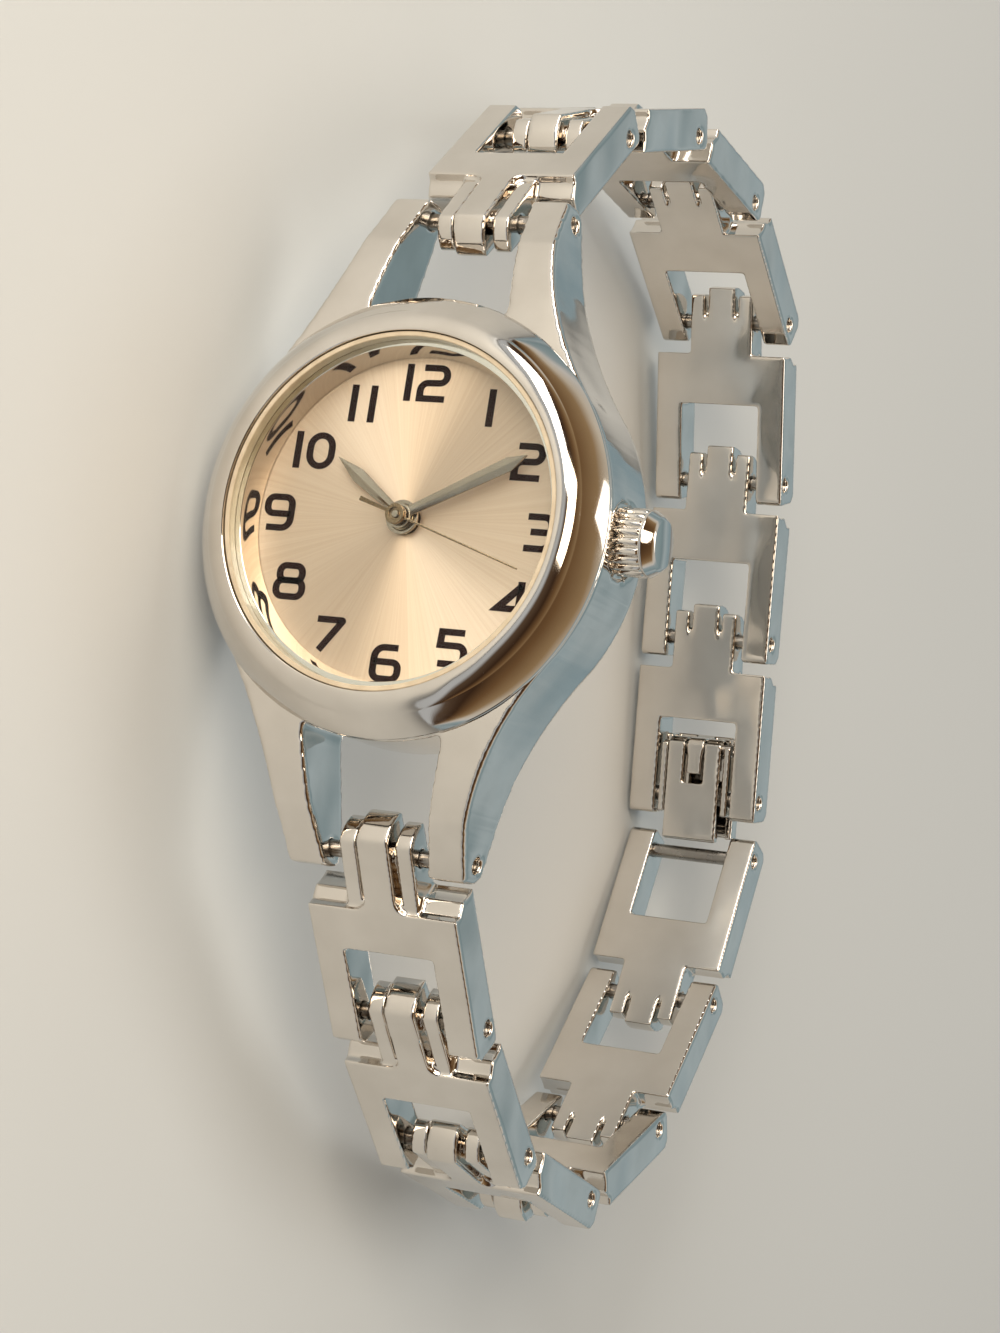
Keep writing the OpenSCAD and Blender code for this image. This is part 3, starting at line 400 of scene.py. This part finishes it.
def numeral(text, cx, cy):
    """One hour's numeral in raised ink, centred at (cx, cy) on the dial."""
    bm = bmesh.new()
    gap = STROKE * WIDE + (ELEVEN_GAP if text == "11" else FIGURE_GAP)
    total = sum(WIDTHS[c] for c in text) + gap * (len(text) - 1)
    x = cx - total / 2
    high = NUMERAL_H - STROKE
    for c in text:
        for stroke in STROKES[c]:
            line, closed = rounded([(px * WIDTHS[c], py * high, r) for px, py, r in stroke])
            if c in "14" and len(stroke) == 2:
                line = [line[0] - Vector((0, STROKE / 2)), line[1] + Vector((0, STROKE / 2))]
            ribbon(bm, [Vector((x + q.x, cy - high / 2 + q.y)) for q in line], closed, STROKE,
                DIAL_Z - INK_SUNK, INK_HEIGHT, WIDE)
        x += WIDTHS[c] + gap
    o = mesh_object("numeral_" + text, bm, WATCH, smooth=False)
    o.data.materials.append(numeral_ink)
    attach(o, "head")


for hour, (hour_x, hour_y) in CENTRES.items():
    numeral(hour, hour_x, hour_y)

# Revolved pieces, finer than the CAD's own meshes

def revolve(name, profile, mat, smooth_angle, steps=256):
    """profile is a closed list of (radius, height) in millimetres about the dial's axis."""
    bm = bmesh.new()
    rings = []
    for r, z in profile:
        if r < 1e-6:
            rings.append([bm.verts.new((0, 0, z))])
        else:
            turns = [2 * math.pi * k / steps for k in range(steps)]
            rings.append([bm.verts.new((r * math.cos(t), r * math.sin(t), z)) for t in turns])
    n = len(rings)
    for i in range(n):
        a, b = rings[i], rings[(i + 1) % n]
        if len(a) == 1 and len(b) == 1:
            continue
        for k in range(steps):
            j = (k + 1) % steps
            if len(a) == 1:
                bm.faces.new((a[0], b[k], b[j]))
            elif len(b) == 1:
                bm.faces.new((a[k], b[0], a[j]))
            else:
                bm.faces.new((a[k], b[k], b[j], a[j]))
    o = mesh_object(name, bm, WATCH)
    o.data.materials.append(mat)
    o.data.set_sharp_from_angle(angle=math.radians(smooth_angle))
    return o


def arc(cx, cz, r, a0, a1, n):
    """n + 1 points on a circle, from a0 to a1 degrees."""
    turns = [math.radians(a0 + (a1 - a0) * k / n) for k in range(n + 1)]
    return [(cx + r * math.cos(t), cz + r * math.sin(t)) for t in turns]


def head_piece(node, profile, mat, smooth_angle=25):
    """A revolved piece of the head that stands for a CAD node."""
    o = revolve(node + "_fine", profile, mat, smooth_angle)
    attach(o, "head")
    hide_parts(node)


# Sizes as in the solids, in millimetres
CASE_R = 12.9
BEZEL_FOOT = 5.95
BEZEL_BORE = 10.45
REHAUT_R = 10.4
REHAUT_TOP = 7.15
CRYSTAL_R = 10.1
CRYSTAL_LOW = 7.2
CRYSTAL_TOP = 8.0
GASKET_IN = CRYSTAL_R + 0.01
GASKET_TOP = 7.9

CREST = arc(10.6, 6.6, 1.45, 93, 37.5, 40)
FLANK = arc(6.987, 2.353, 7.0, 47.1, 33.0, 28)
head_piece("bezel", [(BEZEL_BORE, BEZEL_FOOT), (BEZEL_BORE, 7.99), (10.465, 8.025)] + CREST + FLANK
    + [(12.88, 6.08), (CASE_R, 6.04), (CASE_R, BEZEL_FOOT)], polished, 7)
head_piece("rehaut_ring", [(9.5, 5.45), (REHAUT_R, 5.45), (REHAUT_R, REHAUT_TOP), (9.80, REHAUT_TOP),
    (9.765, 7.135), (9.75, 7.10)], mirror, 20)
head_piece("crystal", [(0, CRYSTAL_LOW), (CRYSTAL_R, CRYSTAL_LOW), (CRYSTAL_R, 7.88),
    (9.98, CRYSTAL_TOP), (0, CRYSTAL_TOP)], crystal_mat)
head_piece("crystal_gasket", [(GASKET_IN, CRYSTAL_LOW), (REHAUT_R, CRYSTAL_LOW), (REHAUT_R, 7.86),
    (10.36, GASKET_TOP), (10.15, GASKET_TOP), (GASKET_IN, 7.86)], gasket_cream)

# The crown's end along three o'clock and its axis's height
CROWN_FOOT = 12.45
CROWN_HEIGHT = 3.3
CROWN_LEN = 2.75
# Its ribs: how many, the points round each, their radius, their distance out and the grooves' floor
RIBS = 20
RIB_POINTS = 18
RIB_R = 0.25
RIB_AT = 1.7
GROOVE_R = 1.76
# Rings of the crown: height from its foot, radius, and share of the ribs from 1, in full, to 0
CROWN_RINGS = ((0.0, 1.55, 0), (0.0, 1.72, 0.3), (0.05, 1.75, 0.75), (0.12, 1.75, 1), (1.80, 1.75, 1),
    (1.88, 1.80, 0.6), (1.90, 1.87, 0.0), (1.92, 1.905, 0), (2.08, 1.905, 0), (2.11, 1.89, 0),
    (2.60, 1.56, 0), (2.64, 1.53, 0), (2.73, 1.39, 0), (CROWN_LEN, 1.35, 0))


def crown_piece():
    """Rounded ribs that end in a small slope, a smooth band and a flat end."""
    shape = []
    for k in range(RIBS * RIB_POINTS):
        t = (2 * math.pi / RIBS) * ((k % RIB_POINTS) / RIB_POINTS - 0.5)
        inside = RIB_R ** 2 - (RIB_AT * math.sin(t)) ** 2
        r = RIB_AT * math.cos(t) + math.sqrt(inside) if inside > 0 else 0
        shape.append(max(GROOVE_R, r))
    n = len(shape)
    bm = bmesh.new()
    rings = []
    for z, radius, share in CROWN_RINGS:
        ring = []
        for k in range(n):
            r = radius + share * (shape[k] - radius)
            a = 2 * math.pi * k / n
            ring.append(bm.verts.new((r * math.cos(a), r * math.sin(a), z)))
        rings.append(ring)
    for a, b in zip(rings, rings[1:]):
        for k in range(n):
            j = (k + 1) % n
            bm.faces.new((a[k], a[j], b[j], b[k]))
    bm.faces.new(rings[0])
    top = bm.verts.new((0, 0, CROWN_LEN))
    for k in range(n):
        bm.faces.new((rings[-1][k], rings[-1][(k + 1) % n], top))
    # z of this mesh runs out along three o'clock
    place = Matrix(((0, 0, 1, CROWN_FOOT), (0, 1, 0, 0), (-1, 0, 0, CROWN_HEIGHT), (0, 0, 0, 1)))
    o = mesh_object("crown_fine", bm, WATCH @ place)
    o.data.materials.append(polished)
    o.data.set_sharp_from_angle(angle=math.radians(32))
    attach(o, "winder")
    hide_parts("crown")


crown_piece()

# Stage, light and camera

def area(name, at, aim, size, power, colour):
    """size is (width, height) in metres."""
    d = bpy.data.lights.new(name, "AREA")
    d.shape = "RECTANGLE"
    d.size = size[0]
    d.size_y = size[1]
    d.energy = power
    d.color = colour
    o = link(bpy.data.objects.new(name, d))
    o.location = at
    o.rotation_euler = (aim - at).to_track_quat("-Z", "Y").to_euler()


# What the lamps look at, in the part's own frame: the watch, and the floor in front of it
TARGET = Vector((1, 12, 0)) * MM
FRONT_FLOOR = Vector((0, -60, -13)) * MM


def at_watch(x, y, z):
    """A point in the watch's own frame, in millimetres."""
    return WATCH @ Vector((x, y, z))


def pale_floor():
    """Pale blue-grey with faint clouds."""
    m, nt, b = new_material("pale_floor")
    co = add(nt, "ShaderNodeTexCoord")
    cloud = add(nt, "ShaderNodeTexNoise", Scale=6.0, Detail=3.0)
    nt.links.new(co.outputs["Object"], cloud.inputs["Vector"])
    pale = ramp(nt, cloud.outputs["Fac"], [(0.3, (0.66, 0.70, 0.73)), (0.7, (0.70, 0.74, 0.77))])
    nt.links.new(pale, b.inputs["Base Color"])
    b.inputs["Roughness"].default_value = 0.7
    return m


# The floor lies UNDER below the case's nine o'clock side and the lowest link, whose places are given
# as (y, z), and reaches FLOOR_REACH metres each way. The rest is in millimetres.
CASE_EDGE = (-0.35, -12.9)
LINK_EDGE = (48.7, -4.85)
UNDER = 0.05
FLOOR_REACH = 3.0
floor_tilt = math.atan2(LINK_EDGE[1] - CASE_EDGE[1], LINK_EDGE[0] - CASE_EDGE[0])
bm = bmesh.new()
bmesh.ops.create_grid(bm, x_segments=1, y_segments=1, size=FLOOR_REACH)
floor = mesh_object("floor", bm, smooth=False)
floor.location = Vector((0, CASE_EDGE[0], CASE_EDGE[1] - UNDER)) * MM
floor.rotation_euler = (floor_tilt, 0, 0)
floor.data.materials.append(pale_floor())

area("key", at_watch(170, 612, 648), TARGET, (0.9, 0.34), 5.3, (1.0, 0.95, 0.87))
area("overhead", at_watch(380, 60, -60), TARGET, (0.26, 0.14), 0.3, (1.0, 0.95, 0.87))
area("front", at_watch(140, 60, 210), FRONT_FLOOR, (0.16, 0.16), 0.42, (1.0, 0.84, 0.64))

# The world: pale at the front horizon, dark brown above it, bright overhead and cool blue behind
# the watch. Its place on the scale turns from the front horizon, over the top, to the back one.
world = bpy.data.worlds.new("studio")
bpy.context.scene.world = world
world.use_nodes = True
wnt = world.node_tree
bg = wnt.nodes["Background"]
wco = add(wnt, "ShaderNodeTexCoord")
wsep = add(wnt, "ShaderNodeSeparateXYZ")
wnt.links.new(wco.outputs["Generated"], wsep.inputs["Vector"])
front = add(wnt, "ShaderNodeMath", operation="MULTIPLY")
front.inputs[1].default_value = -1.0
wnt.links.new(wsep.outputs["Y"], front.inputs[0])
swing = add(wnt, "ShaderNodeMath", operation="ARCTAN2")
wnt.links.new(wsep.outputs["Z"], swing.inputs[0])
wnt.links.new(front.outputs[0], swing.inputs[1])
turn = map_range(wnt, swing.outputs[0], 0.0, math.pi, 0.0, 1.0)
SKY = [(0.0, (0.80, 0.82, 0.83)), (0.05, (0.16, 0.10, 0.06)), (0.20, (0.07, 0.035, 0.018)),
    (0.33, (0.26, 0.14, 0.06)), (0.46, (0.50, 0.33, 0.17)), (0.53, (0.95, 0.84, 0.68)),
    (0.62, (1.0, 0.97, 0.92)), (0.70, (0.50, 0.62, 0.66)), (0.80, (0.40, 0.54, 0.58)),
    (0.835, (0.34, 0.46, 0.50)), (0.875, (0.62, 0.74, 0.78)), (0.93, (0.40, 0.54, 0.60)),
    (1.0, (0.50, 0.62, 0.66))]
wnt.links.new(ramp(wnt, turn, SKY), bg.inputs["Color"])
bg.inputs["Strength"].default_value = 0.65

cam = bpy.data.cameras.new("camera")
cam.sensor_fit = "VERTICAL"
cam.sensor_height = 36.0
cam.lens = CAM_LENS
cam.clip_start = 0.01
cam_o = link(bpy.data.objects.new("camera", cam))
rot = Matrix((CAM_RIGHT, CAM_UP, -CAM_VIEW)).transposed()
cam_o.matrix_world = Matrix.Translation(CAM_AT) @ rot.to_4x4()
scene = bpy.context.scene
scene.camera = cam_o
scene.view_settings.view_transform = "Standard"
